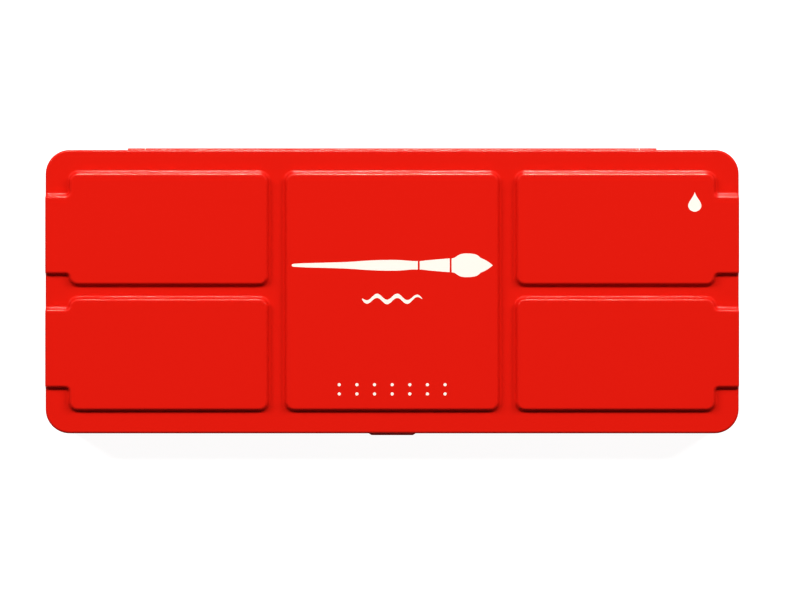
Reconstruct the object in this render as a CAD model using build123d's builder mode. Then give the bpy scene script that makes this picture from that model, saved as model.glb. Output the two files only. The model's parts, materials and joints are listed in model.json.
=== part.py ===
from build123d import *
import os
from math import atan, degrees, hypot, pi, radians, tan

# A flat tin of gouache pans, shut, in millimetres. +X is its right, +Y its back, where the hinge is,
# and +Z up. The origin is on the table, under the middle of the lid.

# The lid: pressed tinplate with a skirt all round
sheet = 0.3
lid_length = 248.0
lid_depth = 101.4
lid_corner = 8.6
skirt_z = 10.2  # lower edge of the skirt
face_z = 18.2  # the lid's face between the raised panels
lid_edge = 0.8  # rounding between face and skirt

# The raised panels pressed into it, measured over the rounding at their foot
panel_rise = 2.0
panel_slope = 65.0  # degrees from flat
press_radius = 1.0  # rounding at the foot and at the top of the slope
panel_corner = 4.3
middle_panel = (78.6, 87.2)
small_panel = (73.3, 42.35)
small_panel_x = 79.85
small_panel_y = 22.425
channel_width = 30.4  # raised channel from a small panel out to the lid's side
channel_y = 20.3
channel_join = 0.3  # hollow corner where channel and panel meet

# The thumb tab, flared out of the front skirt
tab_width = 17.3
tab_tip_width = 14.8
tab_height = 3.0
tab_reach = 0.85

# The hinge: a rolled barrel on the lid between two knuckles on the base
hinge_y = lid_depth / 2 - 0.1
hinge_z = skirt_z
hinge_length = 190.0
knuckle_radius = 0.95
knuckle_length = 6.1
knuckle_gap = 0.2
pin_radius = 0.6
pin_chamfer = 0.15
barrel_bore = pin_radius + 0.05
barrel_length = hinge_length - 2 * knuckle_length - 2 * knuckle_gap
notch_gap = 0.25  # between a knuckle and the edge of its notch in the skirt

# The base: a shallow tray that the skirt slides over, its rim folded inwards
skirt_gap = 0.4
base_length = lid_length - 2 * (sheet + skirt_gap)
base_depth = lid_depth - 2 * (sheet + skirt_gap)
base_corner = lid_corner - sheet - skirt_gap
base_edge = 1.0
rim_z = 13.2
hem_height = 2.2
hem_round = 0.9 * sheet
back_wall_z = hinge_z - 1.1  # the back wall stops under the barrel

# The moulded insert: a deck with a hole for each pan, and a trough between the rows
insert_gap = 0.4  # to the hem of the base
insert_wall = 0.8
insert_length = base_length - 4 * sheet - 2 * insert_gap
insert_depth = base_depth - 4 * sheet - 2 * insert_gap
insert_corner = base_corner - 2 * sheet - insert_gap
deck_z = 12.0
deck_edge = 0.5
trough_length = 232.0
trough_width = 30.0
trough_corner = 5.0
trough_floor_z = sheet + insert_wall
rest_gap = 0.1  # under the tube and the brush, which lie on the trough's floor

# The pans: round cups that hang in the deck by their flanges
pans_in_row = 7
pan_pitch = 33.5
pan_row_y = 32.5
hole_radius = 14.5
collar_radius = 15.2
collar_z = 9.0
flange_radius = 15.75
flange_thickness = 1.0
flange_edge = 0.35
cup_top_radius = 14.0
cup_bottom_radius = 13.3
cup_bottom_z = 3.0
cup_wall = 0.8
cup_fillet = 0.9
cake_z = 12.1  # edge of the gouache, just below the pan's rim
cake_dish = 0.5

back_row = ["lemon_yellow", "golden_yellow", "orange", "vermilion", "carmine", "magenta", "violet"]
front_row = ["ultramarine", "cyan_blue", "emerald_green", "yellow_green", "ochre", "brown", "black"]

# The tube of white, lying in the trough with its cap to the right
tube_radius = 7.25
tube_wall = 0.2
tube_y = -3.0
tube_z = trough_floor_z + tube_radius + rest_gap
tube_end_x = -112.0  # end of the folded crimp
crimp_length = 6.0
crimp_thickness = 1.3
crimp_corner = 0.3
flat_half_height = 0.55
flattened_length = 40.0  # from the crimp to where the tube is round
shoulder_x = -43.0
shoulder_length = 3.0
neck_radius = 3.6
neck_length = 7.0
nozzle_radius = 1.6
cap_gap = 0.05
cap_radius = 5.6
cap_length = 13.5
cap_chamfer = 0.8
cap_flutes = 24
flute_radius = 0.45
flute_start = 2.5  # the cap's open end is a smooth ring

# The brush, lying behind the tube with its hair to the right
brush_y = 11.2
handle_belly = 3.45
brush_z = trough_floor_z + handle_belly + rest_gap
handle_end_x = -112.0
handle_end = (1.4, 1.3)  # length and radius of the rounded end
handle_waist = (50.0, 2.0)  # distance from the end, and radius there
handle_belly_at = 125.0
handle_front = 2.75
ferrule_x = 44.0
ferrule_length = 27.0
ferrule_tip_radius = 2.2
ferrule_wall = 0.2
ferrule_crimps = (4.0, 6.0)  # from the handle's end of the ferrule
crimp_groove = 0.35
tenon_length = 9.0
tenon_radius = 2.3
hair_root = 8.0  # depth of the hair's root in the ferrule
hair_length = 12.0
hair_belly = 2.45
hair_belly_at = 0.3 * hair_length
hair_tip_radius = 0.15


def rounded_block(length, depth, corner, bottom, top):
    """An upright block with rounded corners, between two heights."""
    with BuildPart() as block:
        with BuildSketch(Plane.XY.offset(bottom)):
            RectangleRounded(length, depth, corner)
        extrude(amount=top - bottom)
    return block.part


def hinge_rod(radius, start_x, length):
    """A round rod on the hinge axis."""
    with BuildPart() as rod:
        with BuildSketch(Plane.YZ.offset(start_x)):
            with Locations((hinge_y, hinge_z)):
                Circle(radius)
        extrude(amount=length)
    return rod.part


# ---------------------------------------------------------------- lid


def on_lid_outline(point, inset):
    """Whether a point lies over the lid's rounded outline, drawn in by inset."""
    beyond_x = max(abs(point.X) - (lid_length / 2 - lid_corner), 0)
    beyond_y = max(abs(point.Y) - (lid_depth / 2 - lid_corner), 0)
    return abs(hypot(beyond_x, beyond_y) - (lid_corner - inset)) < 0.01


def is_channel_join(vertex):
    """Whether a corner of the panels' outline is where a channel meets a small panel."""
    panel_side = small_panel_x + small_panel[0] / 2
    across = abs(abs(vertex.Y) - channel_y)
    return abs(abs(vertex.X) - panel_side) < 0.5 and abs(across - channel_width / 2) < 0.01


def pressed_form(inset):
    """The lid's outer form or, with the sheet's thickness as inset, the hollow under it."""
    face = face_z - inset
    top = face + panel_rise
    # Both roundings of the slope reach this far beyond its sharp corner.
    foot = (press_radius + inset) * tan(radians(panel_slope / 2))
    length = lid_length - 2 * inset
    depth = lid_depth - 2 * inset
    channel_start = small_panel_x
    channel_end = lid_length / 2 + panel_corner

    with BuildPart() as form:
        with BuildSketch(Plane.XY.offset(face)):
            RectangleRounded(*middle_panel, panel_corner)
            with GridLocations(2 * small_panel_x, 2 * small_panel_y, 2, 2):
                RectangleRounded(*small_panel, panel_corner)
            with GridLocations(channel_start + channel_end, 2 * channel_y, 2, 2):
                Rectangle(channel_end - channel_start, channel_width)
            fillet(vertices().filter_by(is_channel_join), channel_join)
            offset(amount=-foot)
        extrude(amount=panel_rise, taper=90 - panel_slope)
        add(rounded_block(length, depth, lid_corner - inset, face, top), mode=Mode.INTERSECT)
        add(rounded_block(length, depth, lid_corner - inset, skirt_z, face))

        inside = form.edges().filter_by(lambda edge: not on_lid_outline(edge.center(), inset))
        fillet(inside.filter_by_position(Axis.Z, face - 0.01, face + 0.01), press_radius + inset)
        inside = form.edges().filter_by(lambda edge: not on_lid_outline(edge.center(), inset))
        fillet(inside.filter_by_position(Axis.Z, top - 0.01, top + 0.01), press_radius - inset)
        rim = form.edges().filter_by(
            lambda edge: all(on_lid_outline(vertex, inset) for vertex in edge.vertices())
        )
        fillet(rim.filter_by_position(Axis.Z, face - 0.01, top + 0.01), lid_edge - inset)
    return form.part


def tab_form(inset):
    """The thumb tab's outer form or, with the sheet's thickness as inset, the hollow behind it."""
    front = -lid_depth / 2 + inset
    half_base = tab_width / 2 - inset
    half_tip = tab_tip_width / 2 - inset
    with BuildPart() as form:
        with BuildSketch(Plane.YZ):
            with BuildLine():
                Polyline(
                    (front, skirt_z),
                    (front - tab_reach, skirt_z),
                    (front - tab_reach, skirt_z + sheet),
                    (front, skirt_z + tab_height),
                    close=True,
                )
            make_face()
        extrude(amount=tab_width, both=True)
        with BuildSketch(Plane.XY.offset(skirt_z)):
            with BuildLine():
                Polyline(
                    (-half_base, front),
                    (-half_tip, front - tab_reach),
                    (half_tip, front - tab_reach),
                    (half_base, front),
                    close=True,
                )
            make_face()
        extrude(amount=tab_height, mode=Mode.INTERSECT)
    return form.part


notch_half_height = knuckle_radius + notch_gap
notch_length = (hinge_length - barrel_length) / 2 + knuckle_gap
with BuildPart() as lid:
    add(pressed_form(0))
    add(tab_form(0))
    add(pressed_form(sheet), mode=Mode.SUBTRACT)
    add(tab_form(sheet), mode=Mode.SUBTRACT)
    # The skirt is notched over the base's knuckles and rolled into a barrel between them.
    with Locations((0, lid_depth / 2, hinge_z)):
        with GridLocations(barrel_length + notch_length, 0, 2, 1):
            Box(notch_length, 2, 2 * notch_half_height, mode=Mode.SUBTRACT)
    add(hinge_rod(knuckle_radius, -barrel_length / 2, barrel_length))
    add(hinge_rod(barrel_bore, -barrel_length / 2, barrel_length), mode=Mode.SUBTRACT)

# ---------------------------------------------------------------- base and hinge pin


def base_form(inset):
    """The base's outer form or, with the sheet's thickness as inset, the hollow in it."""
    with BuildPart() as form:
        length = base_length - 2 * inset
        add(rounded_block(length, base_depth - 2 * inset, base_corner - inset, inset, rim_z))
        fillet(form.edges().group_by(Axis.Z)[0], base_edge - inset)
    return form.part


hem_bottom_z = rim_z - hem_height
with BuildPart() as base_tray:
    add(base_form(0))
    add(base_form(sheet), mode=Mode.SUBTRACT)
    # The hem: the rim folded inwards to double thickness, with a round top.
    add(rounded_block(base_length, base_depth, base_corner, hem_bottom_z, rim_z))
    hem_length = base_length - 4 * sheet
    hem_depth = base_depth - 4 * sheet
    hem_corner = base_corner - 2 * sheet
    add(rounded_block(hem_length, hem_depth, hem_corner, hem_bottom_z, rim_z), mode=Mode.SUBTRACT)
    fillet(base_tray.edges().group_by(Axis.Z)[-1], hem_round)
    # The back wall is cut down to the knuckles at its ends and further down for the barrel.
    for cut_length, cut_z in ((hinge_length, hinge_z), (barrel_length, back_wall_z)):
        with BuildSketch(Plane.XY.offset(cut_z)):
            with Locations((0, base_depth / 2)):
                Rectangle(cut_length + 2 * knuckle_gap, 4)
        extrude(amount=rim_z - cut_z, mode=Mode.SUBTRACT)
    for start_x in (-hinge_length / 2, hinge_length / 2 - knuckle_length):
        add(hinge_rod(knuckle_radius, start_x, knuckle_length))
        add(hinge_rod(pin_radius, start_x, knuckle_length), mode=Mode.SUBTRACT)

with BuildPart() as hinge_pin:
    add(hinge_rod(pin_radius, -hinge_length / 2, hinge_length))
    chamfer(hinge_pin.edges(), pin_chamfer)

# ---------------------------------------------------------------- moulded insert

with BuildPart() as pan_tray:
    add(rounded_block(insert_length, insert_depth, insert_corner, sheet, deck_z))
    fillet(pan_tray.edges().group_by(Axis.Z)[-1], deck_edge)
    under_length = insert_length - 2 * insert_wall
    under_depth = insert_depth - 2 * insert_wall
    under_corner = insert_corner - insert_wall
    under_z = deck_z - insert_wall
    add(rounded_block(under_length, under_depth, under_corner, sheet, under_z), mode=Mode.SUBTRACT)
    outer_length = trough_length + 2 * insert_wall
    outer_width = trough_width + 2 * insert_wall
    add(rounded_block(outer_length, outer_width, trough_corner + insert_wall, sheet, under_z))
    with BuildSketch(Plane.XY.offset(collar_z)):
        with GridLocations(pan_pitch, 2 * pan_row_y, pans_in_row, 2):
            Circle(collar_radius)
    extrude(amount=deck_z - collar_z)
    trough = rounded_block(trough_length, trough_width, trough_corner, trough_floor_z, deck_z)
    add(trough, mode=Mode.SUBTRACT)
    mouth = pan_tray.edges().group_by(Axis.Z)[-1]
    fillet(mouth.filter_by_position(Axis.Y, -outer_width / 2, outer_width / 2), deck_edge)
    with BuildSketch(Plane.XY.offset(collar_z)):
        with GridLocations(pan_pitch, 2 * pan_row_y, pans_in_row, 2):
            Circle(hole_radius)
    extrude(amount=deck_z - collar_z, mode=Mode.SUBTRACT)

# ---------------------------------------------------------------- pans and their gouache

cup_floor_z = cup_bottom_z + cup_wall
pan_rim_z = deck_z + flange_thickness
cup_flare = (cup_top_radius - cup_bottom_radius) / (deck_z - cup_bottom_z)


def cup_radius(z):
    """The cup's outer radius at a height."""
    return cup_bottom_radius + cup_flare * (z - cup_bottom_z)


cup_floor_corner = (cup_radius(cup_floor_z) - cup_wall, cup_floor_z)


def upright_plane(x, y):
    """A plane standing on (x, y), for a profile to be turned about the Z line there."""
    return Plane(origin=(x, y, 0), x_dir=(1, 0, 0), z_dir=(0, -1, 0))


def pan_cup(x, y):
    """A round cup with a flange, hanging in the deck at (x, y)."""
    with BuildPart() as cup:
        with BuildSketch(upright_plane(x, y)):
            with BuildLine():
                Polyline(
                    (0, cup_bottom_z),
                    (cup_bottom_radius, cup_bottom_z),
                    (cup_top_radius, deck_z),
                    (flange_radius, deck_z),
                    (flange_radius, pan_rim_z),
                    (cup_radius(pan_rim_z) - cup_wall, pan_rim_z),
                    cup_floor_corner,
                    (0, cup_floor_z),
                    close=True,
                )
            make_face()
            fillet(vertices().group_by(Axis.X)[-1], flange_edge)
            fillet(vertices().sort_by_distance((cup_bottom_radius, cup_bottom_z))[0], cup_fillet)
            fillet(vertices().sort_by_distance(cup_floor_corner)[0], cup_fillet)
        revolve(axis=Axis((x, y, 0), (0, 0, 1)))
    return cup


def gouache_cake(x, y):
    """The dried gouache that fills a cup, a little hollow on top."""
    edge_radius = cup_radius(cake_z) - cup_wall
    dish_radius = (edge_radius**2 + cake_dish**2) / (2 * cake_dish)
    with BuildPart() as cake:
        with BuildSketch(upright_plane(x, y)):
            with BuildLine():
                centre = (0, cake_z - cake_dish)
                turn = degrees(2 * atan(cake_dish / edge_radius))
                dish = JernArc(centre, (1, 0), dish_radius, turn)
                Polyline(dish @ 1, cup_floor_corner, (0, cup_floor_z), centre)
            make_face()
            fillet(vertices().sort_by_distance(cup_floor_corner)[0], cup_fillet)
        revolve(axis=Axis((x, y, 0), (0, 0, 1)))
    return cake


pans = {}
for row_y, row in ((pan_row_y, back_row), (-pan_row_y, front_row)):
    for place, colour in enumerate(row):
        pan_x = (place - (pans_in_row - 1) / 2) * pan_pitch
        pans["pan_" + colour] = pan_cup(pan_x, row_y)
        pans["gouache_" + colour] = gouache_cake(pan_x, row_y)

# ---------------------------------------------------------------- tube of white

crimp_x = tube_end_x + crimp_length
round_x = crimp_x + flattened_length
neck_x = shoulder_x + shoulder_length
neck_end_x = neck_x + neck_length
flat_half_width = pi / 2 * tube_radius  # a tube pressed flat keeps its way round
tube_axis = Axis((0, tube_y, tube_z), (1, 0, 0))


def across_tube(x):
    """The plane across the tube at x, centred on its axis."""
    return Plane(origin=(x, tube_y, tube_z), x_dir=(0, 1, 0), z_dir=(1, 0, 0))


def tube_form(inset, mouth_radius):
    """The tube from the crimp to the mouth: its outer form or, drawn in, the room for paint."""
    with BuildPart() as form:
        with BuildSketch(across_tube(crimp_x)):
            Ellipse(flat_half_width - inset, flat_half_height - inset)
        with BuildSketch(across_tube(round_x)):
            Circle(tube_radius - inset)
        loft()
        with BuildSketch(Plane(origin=(0, tube_y, tube_z), x_dir=(1, 0, 0), z_dir=(0, -1, 0))):
            with BuildLine():
                Polyline(
                    (round_x, 0),
                    (round_x, tube_radius - inset),
                    (shoulder_x - inset, tube_radius - inset),
                    (neck_x - inset, mouth_radius),
                    (neck_end_x, mouth_radius),
                    (neck_end_x, 0),
                    close=True,
                )
            make_face()
        revolve(axis=tube_axis)
    return form.part


with BuildPart() as white_tube:
    add(tube_form(0, neck_radius))
    # The end is pressed flat and folded over.
    with BuildSketch(across_tube(tube_end_x)):
        RectangleRounded(2 * flat_half_width, crimp_thickness, crimp_corner)
    extrude(amount=crimp_length)
    add(tube_form(tube_wall, nozzle_radius), mode=Mode.SUBTRACT)

with BuildPart() as white_tube_paint:
    add(tube_form(tube_wall, nozzle_radius))

with BuildPart() as white_tube_cap:
    with BuildSketch(across_tube(neck_x + cap_gap)):
        Circle(cap_radius)
    extrude(amount=cap_length)
    chamfer(white_tube_cap.edges().group_by(Axis.X)[-1], cap_chamfer)
    # Finger flutes all round, a third of their section deep.
    with BuildSketch(across_tube(neck_x + flute_start)):
        with PolarLocations(cap_radius + flute_radius / 3, cap_flutes):
            Circle(flute_radius)
    extrude(amount=cap_length, mode=Mode.SUBTRACT)
    with BuildSketch(across_tube(neck_x)):
        Circle(neck_radius + cap_gap)
    extrude(amount=neck_length + cap_gap, mode=Mode.SUBTRACT)

# ---------------------------------------------------------------- brush

brush_axis = Axis((0, brush_y, brush_z), (1, 0, 0))
brush_profile = Plane(origin=(0, brush_y, brush_z), x_dir=(1, 0, 0), z_dir=(0, -1, 0))
ferrule_end_x = ferrule_x + ferrule_length
root_x = ferrule_end_x - hair_root
hair_root_radius = ferrule_tip_radius - ferrule_wall
tip_x = ferrule_end_x + hair_length

with BuildPart() as brush_handle:
    with BuildSketch(brush_profile):
        with BuildLine():
            end_length, end_radius = handle_end
            end_centre = (handle_end_x + end_length, 0)
            EllipticalCenterArc(end_centre, end_length, end_radius, start_angle=90, arc_size=90)
            shaft = Spline(
                (handle_end_x + end_length, end_radius),
                (handle_end_x + handle_waist[0], handle_waist[1]),
                (handle_end_x + handle_belly_at, handle_belly),
                (ferrule_x, handle_front),
            )
            Polyline(
                shaft @ 1,
                (ferrule_x, tenon_radius),
                (ferrule_x + tenon_length, tenon_radius),
                (ferrule_x + tenon_length, 0),
                (handle_end_x, 0),
            )
        make_face()
    revolve(axis=brush_axis)

with BuildPart() as brush_ferrule:
    with BuildSketch(brush_profile):
        with BuildLine():
            Polyline(
                (ferrule_x, tenon_radius),
                (ferrule_x + tenon_length, tenon_radius),
                (root_x, hair_root_radius),
                (ferrule_end_x, hair_root_radius),
                (ferrule_end_x, ferrule_tip_radius),
                (ferrule_x + tenon_length, handle_front),
                (ferrule_x, handle_front),
                close=True,
            )
        make_face()
        # Two crimps hold the handle.
        groove_y = handle_front + crimp_groove / 2
        with Locations(*[(ferrule_x + crimp, groove_y) for crimp in ferrule_crimps]):
            Circle(crimp_groove, mode=Mode.SUBTRACT)
    revolve(axis=brush_axis)

with BuildPart() as brush_hair:
    with BuildSketch(brush_profile):
        with BuildLine():
            tuft = Spline(
                (ferrule_end_x, hair_root_radius),
                (ferrule_end_x + hair_belly_at, hair_belly),
                (tip_x, hair_tip_radius),
                tangents=((1, 0.25), (1, -0.35)),
            )
            Polyline(
                tuft @ 1,
                (tip_x, 0),
                (root_x, 0),
                (root_x, hair_root_radius),
                (ferrule_end_x, hair_root_radius),
            )
        make_face()
    revolve(axis=brush_axis)

# ---------------------------------------------------------------- files

pieces = {
    "lid": lid,
    "base_tray": base_tray,
    "hinge_pin": hinge_pin,
    "pan_tray": pan_tray,
    **pans,
    "white_tube": white_tube,
    "white_tube_paint": white_tube_paint,
    "white_tube_cap": white_tube_cap,
    "brush_handle": brush_handle,
    "brush_ferrule": brush_ferrule,
    "brush_hair": brush_hair,
}
os.makedirs("parts", exist_ok=True)
for name, piece in pieces.items():
    piece.part.label = name
    export_step(piece.part, f"parts/{name}.step")
    print(name, round(piece.part.volume, 1), "mm3")
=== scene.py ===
# %% [markdown]
# A flat tin of gouache pans, dressed in Blender. The tin, its moulded insert, the pans, the tube of white
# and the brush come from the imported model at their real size, in metres: +X is the tin's right, +Y its
# back, where the hinge is, and +Z up. This script gives every piece its finish and makes the soft hair
# of the brush, which a plain solid can't show.

# %% Frame
import bpy
import json
import numpy as np
from math import pi, radians, sin
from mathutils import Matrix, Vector


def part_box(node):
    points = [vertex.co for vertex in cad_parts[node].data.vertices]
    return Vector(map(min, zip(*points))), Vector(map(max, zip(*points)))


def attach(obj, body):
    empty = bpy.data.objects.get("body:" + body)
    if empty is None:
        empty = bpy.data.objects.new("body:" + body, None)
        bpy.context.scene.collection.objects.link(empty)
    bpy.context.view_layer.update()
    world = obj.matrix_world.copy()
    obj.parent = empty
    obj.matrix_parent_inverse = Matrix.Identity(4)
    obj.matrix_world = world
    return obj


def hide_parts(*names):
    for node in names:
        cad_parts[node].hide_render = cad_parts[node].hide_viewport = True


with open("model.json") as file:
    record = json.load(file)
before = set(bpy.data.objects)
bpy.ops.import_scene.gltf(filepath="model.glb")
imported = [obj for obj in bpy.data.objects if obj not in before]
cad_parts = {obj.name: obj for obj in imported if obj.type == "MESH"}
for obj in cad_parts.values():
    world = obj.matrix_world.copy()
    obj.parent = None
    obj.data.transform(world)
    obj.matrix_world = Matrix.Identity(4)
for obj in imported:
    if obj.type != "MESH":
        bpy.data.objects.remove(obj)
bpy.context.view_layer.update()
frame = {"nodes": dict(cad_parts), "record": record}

nodes = frame["nodes"]
mm = 0.001

# %% [markdown]
# The camera hangs straight above the tin, as for a catalogue picture. A long lens from a metre and a half
# keeps the sides of the pressed panels from leaning. The lens follows from the width of table that the
# picture should take in at the height of the lid's edge. Such a picture is developed with some contrast,
# which deepens the shaded slopes and lets the white print burn out.

# %% Camera
lid_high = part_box("lid")[1]
edge_below_top = 2.8 * mm
lid_edge_z = lid_high.z - edge_below_top
camera_height = 1.5
view_width = 286.3 * mm
view_centre = Vector((2.8 * mm, -3.0 * mm, 0))

camera = bpy.data.objects.new("camera", bpy.data.cameras.new("camera"))
bpy.context.scene.collection.objects.link(camera)
camera.data.sensor_width = 36.0
camera.data.lens = camera.data.sensor_width * camera_height / view_width
camera.data.clip_start = 0.01
camera.data.clip_end = 50.0
camera.location = view_centre + Vector((0, 0, lid_edge_z + camera_height))
bpy.context.scene.camera = camera
bpy.context.scene.view_settings.view_transform = "Standard"
bpy.context.scene.view_settings.look = "High Contrast"
print("lens:", round(camera.data.lens, 1), "mm")

# %% [markdown]
# A lacquered tin shows its lamps more than its colour, so light and shine are set apart. Three panels light
# the colour and stay out of the reflections: a wide one high behind the tin and a lower one at each side.
# All stand well to the back, so the side slopes of the pressed panels keep nearly the brightness of the
# flats, and the slopes that face the front get no lamp at all and fall deep. The fourth lamp does the
# opposite. It is a slim strip close behind the tin, a hand's breadth above the table, and only the shine
# sees it. Each rounded edge that faces the back mirrors it as one thin bright line, so a slope with its two
# roundings gets two. Its beam is narrow, so that the flats don't flare white for a camera that is low.


# %% Lamps
def area_lamp(name, place, size, energy, shows_in, colour=(1, 1, 1), beam=pi):
    """A rectangular lamp at a place, turned to the tin, for colour ("diffuse") or shine ("glossy")."""
    lamp = bpy.data.lights.new(name, "AREA")
    lamp.shape = "RECTANGLE"
    lamp.size, lamp.size_y = size
    lamp.energy = energy
    lamp.color = colour
    lamp.spread = beam
    holder = bpy.data.objects.new(name, lamp)
    holder.location = place
    holder.rotation_euler = (-Vector(place)).to_track_quat("-Z", "Y").to_euler()
    holder.visible_glossy = shows_in == "glossy"
    holder.visible_diffuse = shows_in == "diffuse"
    holder.visible_camera = False
    bpy.context.scene.collection.objects.link(holder)
    print(name, energy, "W")


area_lamp("overhead_panel", (0, 1.36, 2.10), (2.6, 0.5), 45.0, "diffuse")
for side_name, side, energy in (("left", -1, 29.0), ("right", 1, 28.0)):
    area_lamp(side_name + "_panel", (side * 1.84, 1.06, 1.325), (0.4, 1.0), energy, "diffuse")
warm_white = (1.0, 0.96, 0.86)
narrow_beam = radians(28)
area_lamp("back_strip", (0, 0.16, 0.082), (0.34, 0.014), 0.024, "glossy", warm_white, narrow_beam)

# %% [markdown]
# Materials are small node trees. Each could be wired node by node, as in the shader editor, but the same
# lines would come back dozens of times, so helpers do it: one adds a node with its settings and inputs, one
# starts a material, two make and place a node group, and one puts finishes on a piece. Effects that several
# finishes share are groups that give out a value or a height, and each material decides what to do with it.


# %% Helpers: nodes, materials and groups
def add_node(tree, kind, inputs=None, **settings):
    """A node of a kind with its settings, and its inputs given as values or as sockets to link."""
    node = tree.nodes.new("ShaderNode" + kind)
    for setting, value in settings.items():
        setattr(node, setting, value)
    for socket, value in (inputs or {}).items():
        if isinstance(value, bpy.types.NodeSocket):
            tree.links.new(value, node.inputs[socket])
        else:
            node.inputs[socket].default_value = value
    return node


def start_material(name, colour, roughness, metallic=0.0):
    """A material with its Principled shader set to one colour, and that shader."""
    material = bpy.data.materials.new(name)
    material.use_nodes = True
    shader = material.node_tree.nodes["Principled BSDF"]
    shader.inputs["Base Color"].default_value = (*colour, 1)
    shader.inputs["Roughness"].default_value = roughness
    shader.inputs["Metallic"].default_value = metallic
    print("material:", name)
    return material, shader


def start_group(name, inputs, outputs):
    """An empty node group: its tree, its input node and its output node."""
    tree = bpy.data.node_groups.new(name, "ShaderNodeTree")
    for socket, (kind, value) in inputs.items():
        made = tree.interface.new_socket(socket, in_out="INPUT", socket_type="NodeSocket" + kind)
        if value is not None:
            made.default_value = value
    for socket, kind in outputs.items():
        tree.interface.new_socket(socket, in_out="OUTPUT", socket_type="NodeSocket" + kind)
    print("node group:", name)
    return tree, tree.nodes.new("NodeGroupInput"), tree.nodes.new("NodeGroupOutput")


def place_group(tree, group, inputs):
    """The outputs of a node that uses a group, with its inputs given as values or sockets."""
    return add_node(tree, "Group", inputs, node_tree=group).outputs


def put_on(piece, *finishes):
    """Gives a piece these finishes in place of those it has."""
    piece.data.materials.clear()
    for finish in finishes:
        piece.data.materials.append(finish)


# %% [markdown]
# A pattern on a finish could be a painted picture, but that needs a file and gets coarse close up. Worked
# out from the place on the piece it stays sharp, and it moves with the piece. So the other helpers are the
# steps of such a pattern: a place, a noise or a sum, a range for it, and then a colour or a height.


# %% Helpers: patterns
def math(tree, operation, *values):
    """The result of a Math node."""
    return add_node(tree, "Math", dict(enumerate(values)), operation=operation).outputs["Value"]


def remap(tree, value, low, high, new_low, new_high):
    """A value stretched from one range to another, and held there."""
    inputs = {"Value": value, "From Min": low, "From Max": high, "To Min": new_low, "To Max": new_high}
    return add_node(tree, "MapRange", inputs).outputs["Result"]


def object_place(tree, centre=(0, 0, 0), scale=(1, 1, 1)):
    """The place on the piece, measured from a centre and stretched."""
    place = add_node(tree, "TexCoord").outputs["Object"]
    moved = add_node(tree, "Mapping", {"Vector": place, "Location": [-c * s for c, s in zip(centre, scale)],
                                       "Scale": scale})
    return moved.outputs["Vector"]


def noise(tree, place, scale, detail=2.0):
    """A noise from 0 to 1, mostly near a half."""
    return add_node(tree, "TexNoise", {"Vector": place, "Scale": scale, "Detail": detail}).outputs["Fac"]


def remap_noise(tree, value, new_low, new_high):
    """A noise stretched to a new range from the one where nearly all its values lie."""
    usual_low, usual_high = 0.3, 0.7
    return remap(tree, value, usual_low, usual_high, new_low, new_high)


def blend_colours(tree, amount, first, second):
    """Two colours mixed. Each is a socket or a colour."""
    mix = add_node(tree, "Mix", {"Factor": amount}, data_type="RGBA")
    for socket, colour in (("A", first), ("B", second)):
        target = [i for i in mix.inputs if i.name == socket and i.type == "RGBA"][0]
        if isinstance(colour, bpy.types.NodeSocket):
            tree.links.new(colour, target)
        else:
            target.default_value = (*colour, 1)
    return [o for o in mix.outputs if o.type == "RGBA"][0]


def bump(tree, shader, height, strength, distance):
    """Feeds a height to a shader's normal through a Bump node."""
    node = add_node(tree, "Bump", {"Height": height, "Strength": strength, "Distance": distance})
    tree.links.new(node.outputs["Normal"], shader.inputs["Normal"])


# %% [markdown]
# The floor is a sheet of white paper that mostly glows by itself, so that it stays white in the picture and
# the tin throws only a breath of shadow on it. It glows less for the light that it sends to the tin, and
# not at all for the shine, which keeps the tin's lower edges a deep red. Its back is see-through, so a
# camera below the table sees the tin's underside. It lies a hair lower than that underside, because two
# faces in one plane fight for the same pixels and leave stripes. It also lies a little to one side, so that
# the edge between its two triangles doesn't run under the tin and show there as a step in the light.

# %% Floor
floor_size = 12.0
floor_shift = 1.0
floor_gap = 0.05 * mm
glow_on_tin, glow_in_picture = 0.35, 0.665
bpy.ops.object.select_all(action="DESELECT")
bpy.ops.mesh.primitive_plane_add(size=floor_size, location=(floor_shift, 0, -floor_gap))
floor = bpy.context.object
floor.name = "floor"

paper, shader = start_material("floor_paper", (0.25, 0.25, 0.25), 0.9)
shader.inputs["Specular IOR Level"].default_value = 0.0
shader.inputs["Emission Color"].default_value = (1, 1, 1, 1)
tree = paper.node_tree
ray = add_node(tree, "LightPath").outputs
glow = remap(tree, ray["Is Camera Ray"], 0, 1, glow_on_tin, glow_in_picture)
for_shine = math(tree, "SUBTRACT", 1.0, ray["Is Glossy Ray"])
tree.links.new(math(tree, "MULTIPLY", glow, for_shine), shader.inputs["Emission Strength"])
from_below = add_node(tree, "NewGeometry").outputs["Backfacing"]
clear = add_node(tree, "BsdfTransparent").outputs["BSDF"]
sides = add_node(tree, "MixShader", {"Fac": from_below, 1: shader.outputs["BSDF"], 2: clear})
tree.links.new(sides.outputs["Shader"], tree.nodes["Material Output"].inputs["Surface"])
put_on(floor, paper)
print("floor:", floor_size, "m square")

# %% [markdown]
# The room is what the shine sees. Straight up and to the front it is dark, so the flats keep their full
# colour and the front slopes stay deep. To the back it is a soft grey, which gives the metal pieces
# something to mirror. The camera sees plain white, and a little even light fills the shadows.

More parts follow.
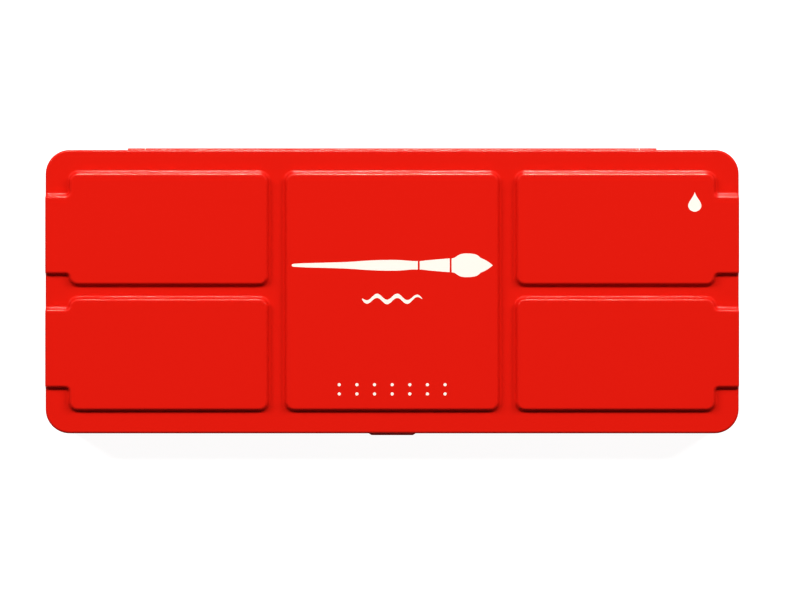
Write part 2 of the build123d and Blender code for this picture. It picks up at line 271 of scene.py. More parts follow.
# %% Room
world = bpy.data.worlds.new("studio")
bpy.context.scene.world = world
world.use_nodes = True
tree = world.node_tree
room = tree.nodes["Background"]
direction = add_node(tree, "TexCoord").outputs["Generated"]
towards = add_node(tree, "SeparateXYZ", {"Vector": direction}).outputs
dark, soft_grey = 0.015, 0.45
dark_up_to, grey_from = 0.12, 0.6
mirrored = remap(tree, towards["Y"], dark_up_to, grey_from, dark, soft_grey)
ray = add_node(tree, "LightPath").outputs
fill_light = 0.02
without_camera = blend_colours(tree, ray["Is Glossy Ray"], (fill_light, fill_light, fill_light), mirrored)
seen = blend_colours(tree, ray["Is Camera Ray"], without_camera, (1, 1, 1))
tree.links.new(seen, room.inputs["Color"])
print("room: fill light", fill_light)

# %% [markdown]
# Sprayed or rolled lacquer is never dead flat: it dries with a faint ripple a few millimetres across,
# called orange peel. It is far too low to model, and shows only in what the surface mirrors. So a fine
# noise gives the ripple as a height, and a slow one varies the gloss.

# %% Group: orange peel
peel_tree, peel_in, peel_out = start_group(
    "orange_peel", {"Ripple": ("Float", 420.0)}, {"Height": "Float", "Gloss": "Float"}
)
place = object_place(peel_tree)
peel_tree.links.new(noise(peel_tree, place, peel_in.outputs["Ripple"]), peel_out.inputs["Height"])
peel_tree.links.new(noise(peel_tree, place, 35.0, 1.0), peel_out.inputs["Gloss"])

# %% [markdown]
# Sheet metal is lacquered flat and pressed afterwards. Where the press bends it, the lacquer is stretched
# and shines more softly than on the flats and on the upright skirt. The bends could be picked out by hand,
# face by face. The group tells them from both by how far the surface faces up or down, on any piece.

# %% Group: stretched bends
bend_dulling = 0.10
bend_tree, bend_in, bend_out = start_group(
    "stretched_bends", {"Dulling": ("Float", bend_dulling)}, {"Mask": "Float"}
)
normal = add_node(bend_tree, "TexCoord").outputs["Normal"]
upward = add_node(bend_tree, "SeparateXYZ", {"Vector": normal}).outputs["Z"]
levelness = math(bend_tree, "ABSOLUTE", upward)
flat, bent = 0.995, 0.95
upright, leaning = 0.05, 0.3
off_flat = remap(bend_tree, levelness, flat, bent, 0, 1)
off_skirt = remap(bend_tree, levelness, upright, leaning, 0, 1)
bends = math(bend_tree, "MINIMUM", off_flat, off_skirt)
bend_tree.links.new(math(bend_tree, "MULTIPLY", bends, bend_in.outputs["Dulling"]), bend_out.inputs["Mask"])

# %% [markdown]
# Handling leaves hairline scuffs in a gloss finish. Single strokes could be drawn, but it takes hundreds. A
# noise stretched far along one direction gives them all at once, and a threshold keeps only a few. Two
# crossed layers look like wear from a drawer.

# %% Group: hairline scuffs
scuff_tree, scuff_in, scuff_out = start_group(
    "hairline_scuffs", {"Amount": ("Float", 0.5)}, {"Mask": "Float"}
)
directions = ((radians(24), (14.0, 900.0, 14.0)), (radians(-51), (11.0, 700.0, 11.0)))
few = (0.68, 0.74)
layers = []
for turn, stretch in directions:
    whole_place = add_node(scuff_tree, "TexCoord").outputs["Object"]
    turned = add_node(scuff_tree, "Mapping", {"Vector": whole_place, "Rotation": (0, 0, turn)})
    strokes = add_node(scuff_tree, "Mapping", {"Vector": turned.outputs["Vector"], "Scale": stretch})
    layers.append(remap(scuff_tree, noise(scuff_tree, strokes.outputs["Vector"], 1.0), *few, 0, 1))
crossed = math(scuff_tree, "MAXIMUM", *layers)
amount = scuff_in.outputs["Amount"]
scuff_tree.links.new(math(scuff_tree, "MULTIPLY", crossed, amount), scuff_out.inputs["Mask"])

# %% [markdown]
# Moulded plastic copies the faint spark-eroded texture of its mould, and its gloss wanders slowly with the
# way the plastic flowed. The insert, the pans and the tube's cap share this group.

# %% Group: moulded surface
mould_tree, mould_in, mould_out = start_group(
    "moulded_surface", {"Grain": ("Float", 2600.0)}, {"Height": "Float", "Gloss": "Float"}
)
place = object_place(mould_tree)
mould_tree.links.new(noise(mould_tree, place, mould_in.outputs["Grain"], 3.0), mould_out.inputs["Height"])
mould_tree.links.new(noise(mould_tree, place, 60.0, 2.0), mould_out.inputs["Gloss"])

# %% [markdown]
# Drawn and turned metal has fine lines that all run one way. A noise squeezed to lines gives them: the
# scale says how fine they are across each axis, and a tiny scale along an axis draws them out along it.

# %% Group: drawn metal
drawn_tree, drawn_in, drawn_out = start_group(
    "drawn_metal", {"Fineness": ("Vector", (20.0, 4000.0, 4000.0))}, {"Lines": "Float"}
)
whole_place = add_node(drawn_tree, "TexCoord").outputs["Object"]
squeezed = add_node(
    drawn_tree, "VectorMath", {0: whole_place, 1: drawn_in.outputs["Fineness"]}, operation="MULTIPLY"
)
drawn_tree.links.new(noise(drawn_tree, squeezed.outputs["Vector"], 1.0, 3.0), drawn_out.inputs["Lines"])

# %% [markdown]
# Gouache that was poured wet and dried in its pan is matt and velvety. Its tone wanders, its skin has a
# fine grain with a few burst bubbles, and it shrinks in faint rings round the middle. The bubbles are
# sunk into the height and also darkened in the tone, which is painted shade in the pits. The group
# measures from the middle of the pan, so each material gives it the place from there.

# %% Group: dried gouache
cake_tree, cake_in, cake_out = start_group(
    "dried_gouache", {"Place": ("Vector", None)}, {"Tone": "Float", "Height": "Float"}
)
place = cake_in.outputs["Place"]
tone = noise(cake_tree, place, 260.0, 3.0)
grain = noise(cake_tree, place, 5200.0, 4.0)
wobble = noise(cake_tree, place, 150.0, 2.0)
distance = add_node(cake_tree, "VectorMath", {0: place}, operation="LENGTH").outputs["Value"]
ring_pitch = 1.7 * mm
wavy = math(cake_tree, "ADD", distance, math(cake_tree, "MULTIPLY", wobble, 2.5 * mm))
rings = math(cake_tree, "SINE", math(cake_tree, "MULTIPLY", wavy, 2 * pi / ring_pitch))
bubbles = add_node(cake_tree, "TexVoronoi", {"Vector": place, "Scale": 620.0})
burst = remap(cake_tree, bubbles.outputs["Distance"], 0.10, 0.20, 1, 0)
chance = add_node(cake_tree, "SeparateColor", {"Color": bubbles.outputs["Color"]}).outputs["Red"]
rare = 0.86
pits = math(cake_tree, "MULTIPLY", burst, math(cake_tree, "GREATER_THAN", chance, rare))
grain_share, ring_share, tone_share, painted_pit_shade = 0.35, 0.18, 0.8, 0.35
relief = math(cake_tree, "MULTIPLY_ADD", grain, grain_share, math(cake_tree, "MULTIPLY", rings, ring_share))
relief = math(cake_tree, "MULTIPLY_ADD", tone, tone_share, relief)
cake_tree.links.new(math(cake_tree, "SUBTRACT", relief, pits), cake_out.inputs["Height"])
# The pits are also darkened in the tone: painted shade in the hollows, on top of their sunk height.
tone_with_painted_pit_shade = math(cake_tree, "SUBTRACT", tone, math(cake_tree, "MULTIPLY", pits, painted_pit_shade))
cake_tree.links.new(tone_with_painted_pit_shade, cake_out.inputs["Tone"])

# %% [markdown]
# The lid carries a plain white print: a brush on the middle panel with a short wave of paint under it, two
# rows of seven dots for the fourteen colours, and a drop on the panel at the back right. Print is a film of
# ink with no thickness, so it isn't modelled. Each figure is a mask worked out from the place on the lid.
# A silhouette is drawn as a turned thing is by hand, with a curve of half widths along its length.


# %% Print: helpers for its figures
print_edge = 0.06 * mm
brush_print = (0, 9.4 * mm)
wave_print = (0, -2.6 * mm)
dots_print = (0, -34.9 * mm)
drop_print = (108.1 * mm, 32.1 * mm)


def silhouette(tree, along, across, length, half_width, widths):
    """A mask for a figure lying along one direction, from its half widths at shares of its length."""
    share = remap(tree, along, -length / 2, length / 2, 0, 1)
    curve = add_node(tree, "FloatCurve", {"Value": share})
    points = curve.mapping.curves[0].points
    for _ in widths[2:]:
        points.new(0.5, 0.5)
    for point, (at, width) in zip(points, widths):
        point.location = (at, width)
    curve.mapping.update()
    edge = math(tree, "MULTIPLY", curve.outputs["Value"], half_width)
    inside = math(tree, "SUBTRACT", edge, math(tree, "ABSOLUTE", across))
    return remap(tree, inside, 0, print_edge, 0, 1)


def flat_place(tree, centre):
    """The place on the lid's face from a centre: along X and along Y."""
    parts = add_node(tree, "SeparateXYZ", {"Vector": object_place(tree, (*centre, 0))}).outputs
    return parts["X"], parts["Y"]


def band(tree, value, half_width):
    """A mask where a value is within a half width of nothing."""
    return remap(tree, math(tree, "ABSOLUTE", value), half_width, half_width - print_edge, 0, 1)


print_tree, _, print_out = start_group("lid_print", {}, {"Mask": "Float"})

# %% [markdown]
# The printed brush is a long handle with a slight swell, a ferrule and a round head that ends in a point.
# Two thin gaps set the ferrule off, as the joints do on a real brush.

# %% Print: the brush
along, across = flat_place(print_tree, brush_print)
brush_length, brush_half_width = 72.0 * mm, 4.3 * mm
brush_widths = [
    (0.0, 0.0), (0.012, 0.13), (0.25, 0.27), (0.50, 0.46), (0.635, 0.36),
    (0.66, 0.40), (0.78, 0.58), (0.80, 0.60), (0.87, 1.0), (0.94, 0.62), (1.0, 0.0),
]
figure = silhouette(print_tree, along, across, brush_length, brush_half_width, brush_widths)
ferrule_ends, gap_half_width = (9.5 * mm, 20.9 * mm), 0.35 * mm
for end_x in ferrule_ends:
    gap = band(print_tree, math(print_tree, "SUBTRACT", along, end_x), gap_half_width)
    figure = math(print_tree, "SUBTRACT", figure, gap)
brush_figure = math(print_tree, "MAXIMUM", figure, 0.0)
print("printed brush, mm long:", brush_length / mm)

# %% [markdown]
# The wave is one stroke of three swings. A stroke along a straight line is bent by measuring the distance
# across it from a sine curve, and the half widths make it start thin, swell and run out.

# %% Print: the wave
along, across = flat_place(print_tree, wave_print)
wave_length, wave_height, wave_half_width = 7.2 * mm, 1.1 * mm, 0.85 * mm
wave_count = 3
crest = math(print_tree, "SINE", math(print_tree, "MULTIPLY", along, 2 * pi / wave_length))
from_wave = math(print_tree, "MULTIPLY_ADD", crest, -wave_height, across)
wave_widths = [(0.0, 0.0), (0.06, 0.75), (0.5, 1.0), (0.9, 0.6), (1.0, 0.0)]
stroke_length = wave_count * wave_length
wave_figure = silhouette(print_tree, along, from_wave, stroke_length, wave_half_width, wave_widths)
print("printed wave, mm long:", round(stroke_length / mm, 1))

# %% [markdown]
# Fourteen dots would be fourteen masks. Instead the place along a row is counted from the nearest multiple
# of the pitch, and the place across from the nearer of the two rows, so one round mask draws them all. A
# band then cuts the rows off after seven dots.

# %% Print: the dots
along, across = flat_place(print_tree, dots_print)
dot_pitch, dot_row_pitch, dot_radius = 6.3 * mm, 3.3 * mm, 0.62 * mm
dots_in_row = 7
nearest = math(print_tree, "SNAP", math(print_tree, "ADD", along, dot_pitch / 2), dot_pitch)
from_dot_x = math(print_tree, "SUBTRACT", along, nearest)
from_dot_y = math(print_tree, "SUBTRACT", math(print_tree, "ABSOLUTE", across), dot_row_pitch / 2)
squares = [math(print_tree, "MULTIPLY", part, part) for part in (from_dot_x, from_dot_y)]
from_dot = math(print_tree, "SQRT", math(print_tree, "ADD", *squares))
in_row = band(print_tree, along, dots_in_row * dot_pitch / 2)
dots_figure = math(print_tree, "MULTIPLY", band(print_tree, from_dot, dot_radius), in_row)
print("printed dots:", 2 * dots_in_row)

# %% [markdown]
# The drop stands upright, so its length runs across the lid. The four masks then make one print. It is kept
# to the top of the panels, because the masks take no notice of height.

# %% Print: the drop, and the whole print
across, along = flat_place(print_tree, drop_print)
drop_length, drop_half_width = 7.2 * mm, 2.4 * mm
drop_widths = [
    (0.0, 0.0), (0.06, 0.55), (0.16, 0.86), (0.30, 1.0), (0.48, 0.84), (0.66, 0.50), (0.84, 0.18), (1.0, 0.0),
]
drop_figure = silhouette(print_tree, along, across, drop_length, drop_half_width, drop_widths)

whole = math(print_tree, "MAXIMUM", brush_figure, wave_figure)
whole = math(print_tree, "MAXIMUM", whole, math(print_tree, "MAXIMUM", dots_figure, drop_figure))
lid_place = add_node(print_tree, "SeparateXYZ", {"Vector": object_place(print_tree)}).outputs
on_top = math(print_tree, "GREATER_THAN", lid_place["Z"], lid_high.z - 0.2 * mm)
print_tree.links.new(math(print_tree, "MULTIPLY", whole, on_top), print_out.inputs["Mask"])
print("printed drop, mm long:", drop_length / mm)

# %% [markdown]
# The outside of the tin is a gloss red lacquer baked on tinplate, and the inside a white enamel, because a
# painter mixes colours in the lid and has to see them true. One even shine would look like glass. So both
# are one recipe: a colour, a shine whose sharpness wanders a little and softens on the bends, the ripple in
# the normal, and very faint scuffs that only dull the shine.


# %% Lacquers
print_white = (0.74, 0.70, 0.64)
scuff_amount = 0.05
ripple_height = 0.02 * mm


def lacquer(name, colour, ripple_strength, gloss_range, figure=None):
    """A gloss lacquer with a faint ripple and hairline scuffs, and the lid's print if it is given one."""
    material, shader = start_material(name, colour, gloss_range[0])
    tree = material.node_tree
    peel = place_group(tree, peel_tree, {"Ripple": 420.0})
    scuffs = place_group(tree, scuff_tree, {"Amount": scuff_amount})
    bends = place_group(tree, bend_tree, {"Dulling": bend_dulling})
    softer = math(tree, "ADD", remap_noise(tree, peel["Gloss"], *gloss_range), bends["Mask"])
    tree.links.new(math(tree, "ADD", softer, scuffs["Mask"]), shader.inputs["Roughness"])
    if figure:
        mask = place_group(tree, figure, {})["Mask"]
        tree.links.new(blend_colours(tree, mask, colour, print_white), shader.inputs["Base Color"])
    bump(tree, shader, peel["Height"], ripple_strength, ripple_height)
    return material


red_lacquer = lacquer("red_lacquer", (0.58, 0.0220, 0.0115), 0.03, (0.08, 0.11), print_tree)
white_enamel = lacquer("white_enamel", (0.60, 0.60, 0.585), 0.20, (0.14, 0.20))


# %% [markdown]
# Bare metal shows in four places: the cut edge of the sheet, the hinge wire, the ferrule and the ends of
# the tube. Rolling, drawing and polishing leave fine lines in it. The shader has a setting for a stretched
# shine, but its lines never show close up, so the group's lines go into the roughness and the normal. The
# ferrule and the tube have a clear lacquer that has dulled, so they are only partly metallic: a full mirror
# would show nothing but the dark room above.


# %% Metals
def metal(name, colour, roughness_range, fineness, relief, metallic=1.0):
    """A metal with fine lines in one direction."""
    material, shader = start_material(name, colour, roughness_range[0], metallic)
    tree = material.node_tree
    lines = place_group(tree, drawn_tree, {"Fineness": fineness})["Lines"]
    tree.links.new(remap_noise(tree, lines, *roughness_range), shader.inputs["Roughness"])
    bump(tree, shader, lines, relief, 0.01 * mm)
    return material


tin_edge = metal("bare_tin_edge", (0.62, 0.60, 0.57), (0.25, 0.42), (900.0, 900.0, 30.0), 0.2)
wire_steel = metal("wire_steel", (0.56, 0.55, 0.53), (0.22, 0.38), (20.0, 5000.0, 5000.0), 0.3)
ferrule_metal = metal("ferrule_metal", (0.74, 0.71, 0.66), (0.18, 0.32), (6000.0, 60.0, 60.0), 0.25, 0.55)


# %% [markdown]
# The insert, the pans and the cap are moulded polystyrene and polyethylene: a soft white with a broad
# shine. Plastic is coloured right through, so its colour is the same all over. What tells it from paint is
# the texture of the mould, and that goes into the gloss and the normal.


# %% Plastics
def plastic(name, colour, gloss_range, grain, relief):
    """A moulded plastic."""
    material, shader = start_material(name, colour, gloss_range[0])
    tree = material.node_tree
    mould = place_group(tree, mould_tree, {"Grain": grain})
    tree.links.new(remap_noise(tree, mould["Gloss"], *gloss_range), shader.inputs["Roughness"])
    bump(tree, shader, mould["Height"], relief, 0.03 * mm)
    return material


white_plastic = plastic("white_plastic", (0.60, 0.60, 0.59), (0.28, 0.38), 2600.0, 0.35)
pan_plastic = plastic("pan_plastic", (0.66, 0.66, 0.645), (0.20, 0.28), 1800.0, 0.2)
cap_plastic = plastic("cap_plastic", (0.66, 0.66, 0.65), (0.30, 0.40), 2200.0, 0.3)


# %% [markdown]
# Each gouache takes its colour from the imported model's record. One flat colour would look like plastic, so
# the mottle moves it between a deeper and a chalkier shade, never far, because a new cake is even. Hardly
# any shine is left in dried gouache.


# %% Gouache
def gouache(name, colour, node):
    """The dried gouache of one pan, measured from the middle of its node."""
    material, shader = start_material(name, colour, 0.8)
    shader.inputs["Specular IOR Level"].default_value = 0.12
    tree = material.node_tree
    low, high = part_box(node)
    middle = (low + high) / 2
    cake = place_group(tree, cake_tree, {"Place": object_place(tree, middle)})
    # The tone carries the random mottle and also the group's painted shade in the pits.
    deep = [0.82 * c for c in colour]
    chalky = [c + 0.045 * (1 - c) for c in colour]
    chalk = remap_noise(tree, cake["Tone"], 0, 1)
    tree.links.new(blend_colours(tree, chalk, deep, chalky), shader.inputs["Base Color"])
    tree.links.new(remap_noise(tree, cake["Tone"], 0.62, 0.86), shader.inputs["Roughness"])
    bump(tree, shader, cake["Height"], 0.5, 0.12 * mm)
    return material


record_colours = {m["slot"]: m["base_color"] for m in frame["record"]["materials"]}
gouaches = [name for name in nodes if name.startswith("gouache_")]
for node in gouaches + ["white_tube_paint"]:
    slot = node if node in gouaches else "gouache_white"
    put_on(nodes[node], gouache(slot, record_colours[slot][:3], node))
print("gouaches:", len(gouaches))

# %% [markdown]
# The tube is thin aluminium, painted white from its folded end to its shoulder. The paint stops short of
# the fold and of the shoulder, where the bare metal shows, and a grey band with two thin rules marks it as
# white. Masks along the tube tell paint from metal, so one material does for the whole tube.

# %% Tube of white
tube_low, tube_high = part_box("white_tube")
fold_length, neck_length, bare_rim = 6.4 * mm, 10.0 * mm, 0.8 * mm
shoulder_x = tube_high.x - neck_length
paint_start_x, paint_end_x = tube_low.x + fold_length, shoulder_x - bare_rim
tube_finish, shader = start_material("tube_aluminium", (0.85, 0.85, 0.83), 0.3)
tree = tube_finish.node_tree
along = add_node(tree, "SeparateXYZ", {"Vector": object_place(tree)}).outputs["X"]
from_middle = math(tree, "SUBTRACT", along, (paint_start_x + paint_end_x) / 2)
painted = band(tree, from_middle, (paint_end_x - paint_start_x) / 2)
white_paint, grey, black = (0.66, 0.66, 0.645), (0.33, 0.34, 0.36), (0.05, 0.05, 0.055)
marks = ((9.0 * mm, 3.2 * mm, grey), (14.2 * mm, 0.35 * mm, black), (46.0 * mm, 0.35 * mm, black))
colour = white_paint
for from_shoulder, half_width, mark in marks:
    mask = band(tree, math(tree, "SUBTRACT", along, shoulder_x - from_shoulder), half_width)
    colour = blend_colours(tree, mask, colour, mark)
bare_metal, bare_metallic = (0.72, 0.72, 0.71), 0.45
tree.links.new(blend_colours(tree, painted, bare_metal, colour), shader.inputs["Base Color"])
tree.links.new(remap(tree, painted, 0, 1, bare_metallic, 0), shader.inputs["Metallic"])
peel = place_group(tree, peel_tree, {"Ripple": 300.0})
lines = place_group(tree, drawn_tree, {"Fineness": (2500.0, 40.0, 40.0)})["Lines"]
roughness = add_node(tree, "Mix", {"Factor": painted}, data_type="FLOAT")
tree.links.new(remap_noise(tree, lines, 0.22, 0.38), roughness.inputs["A"])
tree.links.new(remap_noise(tree, peel["Gloss"], 0.22, 0.34), roughness.inputs["B"])
tree.links.new(roughness.outputs["Result"], shader.inputs["Roughness"])
dents = noise(tree, object_place(tree, scale=(1, 1.6, 1.6)), 55.0, 1.0)
bump(tree, shader, dents, 0.35, 0.8 * mm)
print("tube painted from", round(paint_start_x / mm, 1), "to", round(paint_end_x / mm, 1))

# %% [markdown]
# The brush handle is turned wood, stained deep red under clear lacquer, with its end dipped black. The
# grain runs along the handle, so the noise is drawn out along X, and it only shows faintly through.

# %% Brush handle
handle_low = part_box("brush_handle")[0]
dip_length = 17.0 * mm
handle_finish, shader = start_material("brush_wood", (0.30, 0.018, 0.014), 0.16)
shader.inputs["Coat Weight"].default_value = 0.6
shader.inputs["Coat Roughness"].default_value = 0.08
tree = handle_finish.node_tree
fibres = noise(tree, object_place(tree, scale=(60.0, 2600.0, 2600.0)), 1.0, 4.0)
streaks = remap(tree, fibres, 0.35, 0.65, 0, 1)
stained = blend_colours(tree, streaks, (0.17, 0.010, 0.008), (0.40, 0.028, 0.020))
along = add_node(tree, "SeparateXYZ", {"Vector": object_place(tree)}).outputs["X"]
dipped = math(tree, "LESS_THAN", along, handle_low.x + dip_length)
tree.links.new(blend_colours(tree, dipped, stained, (0.012, 0.011, 0.011)), shader.inputs["Base Color"])
peel = place_group(tree, peel_tree, {"Ripple": 500.0})
tree.links.new(remap_noise(tree, peel["Gloss"], 0.14, 0.24), shader.inputs["Roughness"])
bump(tree, shader, peel["Height"], 0.25, ripple_height)

# %% [markdown]
# These pieces are one material each, so their finish goes on the whole piece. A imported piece's own mesh is
# never touched, only its material slots.

# %% Dress the plain pieces
finishes = {
    "hinge_pin": wire_steel,
    "pan_tray": white_plastic,
    "white_tube": tube_finish,
    "white_tube_cap": cap_plastic,
    "brush_handle": handle_finish,
    "brush_ferrule": ferrule_metal,
}
finishes.update({name: pan_plastic for name in nodes if name.startswith("pan_") and name != "pan_tray"})
for node, finish in finishes.items():
    put_on(nodes[node], finish)
print("pieces dressed:", len(finishes))


# %% [markdown]
# The sheet is lacquered red on one side and white on the other. A mask in one material could tell them
# apart, but two materials with a slot each are simpler to read and to change. Each triangle of the lid and
# the base then takes its slot from where it faces.


# %% Red outside, white inside: helpers
def facing(node):
    """The middle and the normal of every triangle of a node, as two arrays."""
    polygons = nodes[node].data.polygons
    return np.array([p.center for p in polygons]), np.array([p.normal for p in polygons])


def outward(middles, normals):
    """How far each triangle faces away from the tin's upright middle line."""
    return (middles[:, :2] * normals[:, :2]).sum(1)


def dress(node, finishes, index):
    """Gives a node its finishes, and each triangle one of them."""
    put_on(nodes[node], *finishes)
    mesh = nodes[node].data
    mesh.polygons.foreach_set("material_index", index.astype(np.int32))
    mesh.update()
    print(node, "triangles per finish:", np.bincount(index.astype(int)).tolist())


# %% [markdown]
# On the lid, what looks up or away from the middle is outside, and what looks down or towards the middle is
# inside. The rolled barrel of the hinge is red all round, and the cut edge of the skirt stays bare tin.

# %% Red outside, white inside: the lid
skirt_z = lid_high.z - 10.0 * mm
hinge_y = 50.6 * mm
barrel_reach = 1.05 * mm
nearly_upright = 0.02
middles, normals = facing("lid")
inside = np.where(np.abs(normals[:, 2]) > nearly_upright, normals[:, 2] < 0, outward(middles, normals) < 0)
from_hinge = np.hypot(middles[:, 1] - hinge_y, middles[:, 2] - skirt_z)
barrel = from_hinge < barrel_reach
at_skirt_edge = np.abs(middles[:, 2] - skirt_z) < 0.02 * mm
cut_edge = at_skirt_edge & (normals[:, 2] < -0.9)
index = np.where(cut_edge, 2, np.where(inside & ~barrel, 1, 0))
dress("lid", [red_lacquer, white_enamel, tin_edge], index)

# %% [markdown]
# On the base it is the other way up: what looks down or away from the middle is outside. The hem, which is
# rolled over the rim, and the two knuckles of the hinge are red all round.

# %% Red outside, white inside: the base
hem_z = 10.9 * mm
knuckle_y = hinge_y - 0.58 * mm
middles, normals = facing("base_tray")
inside = np.where(np.abs(normals[:, 2]) > nearly_upright, normals[:, 2] > 0, outward(middles, normals) < 0)
low = middles[:, 2] < hem_z
knuckle = middles[:, 1] > knuckle_y
index = np.where(inside & low & ~knuckle, 1, 0)
dress("base_tray", [red_lacquer, white_enamel], index)

# %% [markdown]
# The hair of the brush is a tuft of fine strands that swell to a belly and close to a point. It could be a
# smooth lathe shape, but then it looks like a bullet. It could be a hair system, but that isn't a mesh. So
# it gets a smooth core, and copies of one thin tapered rod are laid over it, each a little different. Both
# follow one curve, which gives the tuft's radius along its length.


# %% Tuft: its measures
tuft_root, tuft_belly = 1.95 * mm, 2.75 * mm
belly_lean, tip_close = 0.75, 2.2


def tuft_radius(share):
    """The tuft's radius from the ferrule's mouth, at 0, to its tip, at 1."""
    belly = (tuft_belly - tuft_root) * sin(pi * share ** belly_lean)
    return tuft_root + belly - tuft_root * share ** tip_close


tuft_low, tuft_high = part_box("brush_hair")
ferrule_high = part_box("brush_ferrule")[1]
mouth_x, tip_x = ferrule_high.x, tuft_high.x
tuft_y, tuft_z = (tuft_low.y + tuft_high.y) / 2, (tuft_low.z + tuft_high.z) / 2
core_x, hair_x = mouth_x - 1.5 * mm, mouth_x - 1.0 * mm
tuft_length = tip_x - mouth_x - 0.2 * mm
print("tuft, mm long:", round(tuft_length / mm, 2))

# %% [markdown]
# The core starts as a filled circle just inside the ferrule. It is drawn out ring by ring along the brush,
# and each new ring is scaled to its share of the tuft's radius, as one does by hand with extrude and scale.

# %% Tuft: the core
core_share = 0.86
rings = [0.0, 0.12, 0.25, 0.4, 0.55, 0.7, 0.82, 0.92, 0.98]
bpy.ops.object.select_all(action="DESELECT")
bpy.ops.mesh.primitive_circle_add(
    vertices=32, radius=core_share * tuft_root, fill_type="NGON",
    location=(core_x, tuft_y, tuft_z), rotation=(0, pi / 2, 0),
)
tuft = bpy.context.object
tuft.name = "brush_hair_tuft"
bpy.ops.object.transform_apply(location=True, rotation=True, scale=True)
bpy.ops.object.mode_set(mode="EDIT")
bpy.ops.mesh.select_all(action="SELECT")
last_x, last_radius = core_x, core_share * tuft_root
for share in rings:
    x, radius = mouth_x + share * tuft_length, core_share * tuft_radius(share)
    bpy.ops.mesh.extrude_region_move(TRANSFORM_OT_translate={"value": (x - last_x, 0, 0)})
    bpy.ops.transform.resize(
        value=(1, radius / last_radius, radius / last_radius), center_override=(x, tuft_y, tuft_z)
    )
    last_x, last_radius = x, radius
bpy.ops.mesh.select_all(action="SELECT")
bpy.ops.mesh.normals_make_consistent(inside=False)
bpy.ops.object.mode_set(mode="OBJECT")
radii = [round(tuft_radius(share) / mm, 2) for share in rings]
print("tuft core:", len(tuft.data.polygons), "faces, radii mm", radii)

# %% [markdown]
# One hair is a five-sided rod that tapers to its tip, because more sides can't be seen on a thing so thin.
# Its long edges are subdivided so that it can follow the tuft's swelling line.

# %% Tuft: one hair
hair_steps = 9
bpy.ops.object.select_all(action="DESELECT")
bpy.ops.mesh.primitive_cone_add(
    vertices=5, radius1=0.5, radius2=0.12, depth=1.0, end_fill_type="NGON", location=(0, 0, 0.5)
)
hair = bpy.context.object
bpy.ops.object.transform_apply(location=True, rotation=True, scale=True)
bpy.ops.object.mode_set(mode="EDIT")
bpy.ops.mesh.select_mode(type="EDGE")
bpy.ops.mesh.select_all(action="DESELECT")
bpy.ops.object.mode_set(mode="OBJECT")
for edge in hair.data.edges:
    start, end = (hair.data.vertices[v].co.z for v in edge.vertices)
    edge.select = abs(end - start) > 0.5
bpy.ops.object.mode_set(mode="EDIT")
bpy.ops.mesh.subdivide(number_cuts=hair_steps)
bpy.ops.object.mode_set(mode="OBJECT")
hair_shape = np.array([v.co for v in hair.data.vertices])
print("one hair:", len(hair.data.polygons), "faces")

# %% [markdown]
# Each copy of the hair keeps to its own angle round the tuft and its own depth, ends at its own length, and
# wavers a little. Angles drawn by lot would leave bald places, so each is a golden turn on from the last,
# which spreads any number of hairs evenly. The lots have a fixed start, so the tuft is the same every time.

# %% Tuft: the hairs laid over the core
hair_width = 0.17 * mm
hair_count = 330
golden_turn = 0.618034
randoms = np.random.default_rng(7)
hairs = []
for number in range(hair_count):
    copy = bpy.data.objects.new("hair", hair.data.copy())
    bpy.context.scene.collection.objects.link(copy)
    angle = 2 * pi * (number * golden_turn % 1) + randoms.uniform(-0.04, 0.04)
    depth = randoms.uniform(0.84, 1.0)
    reach = randoms.uniform(0.86, 1.0)
    waver = randoms.uniform(-0.05, 0.05)
    share = hair_shape[:, 2] * reach
    radius = np.array([depth * tuft_radius(s) for s in share]) - hair_width / 2
    turned = angle + waver * share
    places = np.empty_like(hair_shape)
    places[:, 0] = hair_x + share * (mouth_x + tuft_length - hair_x)
    side, out = hair_shape[:, 0] * hair_width, hair_shape[:, 1] * hair_width
    places[:, 1] = tuft_y + np.cos(turned) * (radius + out) - np.sin(turned) * side
    places[:, 2] = tuft_z + np.sin(turned) * (radius + out) + np.cos(turned) * side
    copy.data.vertices.foreach_set("co", places.ravel())
    hairs.append(copy)
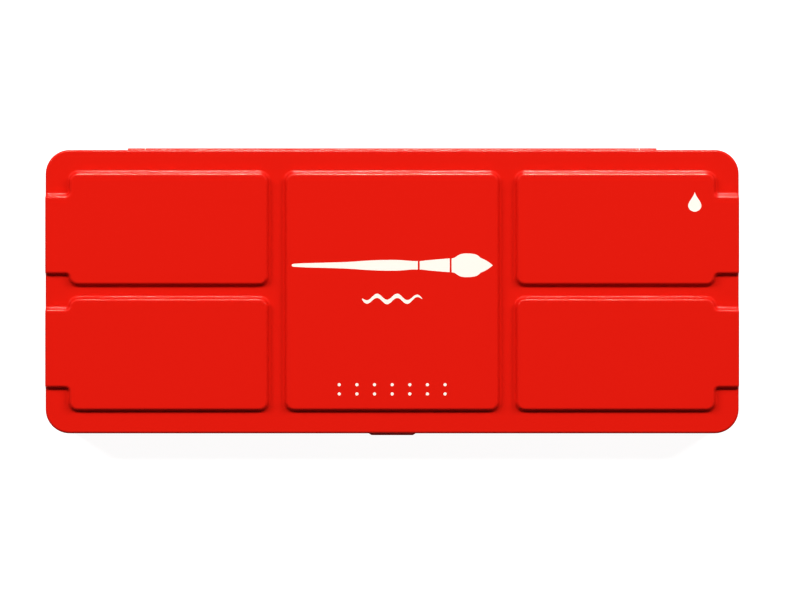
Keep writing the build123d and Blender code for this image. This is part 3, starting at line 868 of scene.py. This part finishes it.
bpy.data.objects.remove(hair)
print("hairs:", len(hairs))

# %% [markdown]
# The hairs and the core become one piece, which is one mesh to carry and to export. All faces are turned
# outwards, and the long sides of the hairs are shaded smooth.

# %% Tuft: one piece
bpy.ops.object.select_all(action="DESELECT")
for piece in hairs + [tuft]:
    piece.select_set(True)
bpy.context.view_layer.objects.active = tuft
bpy.ops.object.join()
bpy.ops.object.mode_set(mode="EDIT")
bpy.ops.mesh.select_all(action="SELECT")
bpy.ops.mesh.normals_make_consistent(inside=False)
bpy.ops.object.mode_set(mode="OBJECT")
bpy.ops.object.shade_smooth_by_angle(angle=radians(50))
print("tuft:", len(tuft.data.polygons), "faces, box mm",
      [[round(c / mm, 2) for c in corner] for corner in (tuft.bound_box[0], tuft.bound_box[6])])

# %% [markdown]
# The hair is darkened for its first 5 mm out of the ferrule, which is painted shade where the hairs crowd
# into it, and its strands differ in tone and gloss. Each hair could have a material of its own, but a noise
# drawn out along the tuft does the same with one: across it strands differ, and along it each stays one
# tone.

# %% Tuft: the finish
hair_finish, shader = start_material("brush_hair", (0.20, 0.085, 0.032), 0.42)
tree = hair_finish.node_tree
strands = noise(tree, object_place(tree, scale=(90.0, 5200.0, 5200.0)), 1.0, 2.0)
strand_colour = blend_colours(
    tree, remap_noise(tree, strands, 0, 1), (0.11, 0.042, 0.015), (0.34, 0.16, 0.065)
)
along = add_node(tree, "SeparateXYZ", {"Vector": object_place(tree)}).outputs["X"]
# Painted shade: the hair is darkened for its first 5 mm out of the ferrule, where the hairs crowd into it.
ferrule_shade_length, painted_ferrule_shade = 5.0 * mm, (0.06, 0.024, 0.010)
ferrule_shade_mask = remap(tree, along, mouth_x, mouth_x + ferrule_shade_length, 0.45, 0)
tree.links.new(blend_colours(tree, ferrule_shade_mask, strand_colour, painted_ferrule_shade), shader.inputs["Base Color"])
tree.links.new(remap_noise(tree, strands, 0.34, 0.55), shader.inputs["Roughness"])
put_on(tuft, hair_finish)
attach(tuft, "brush")
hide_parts("brush_hair")
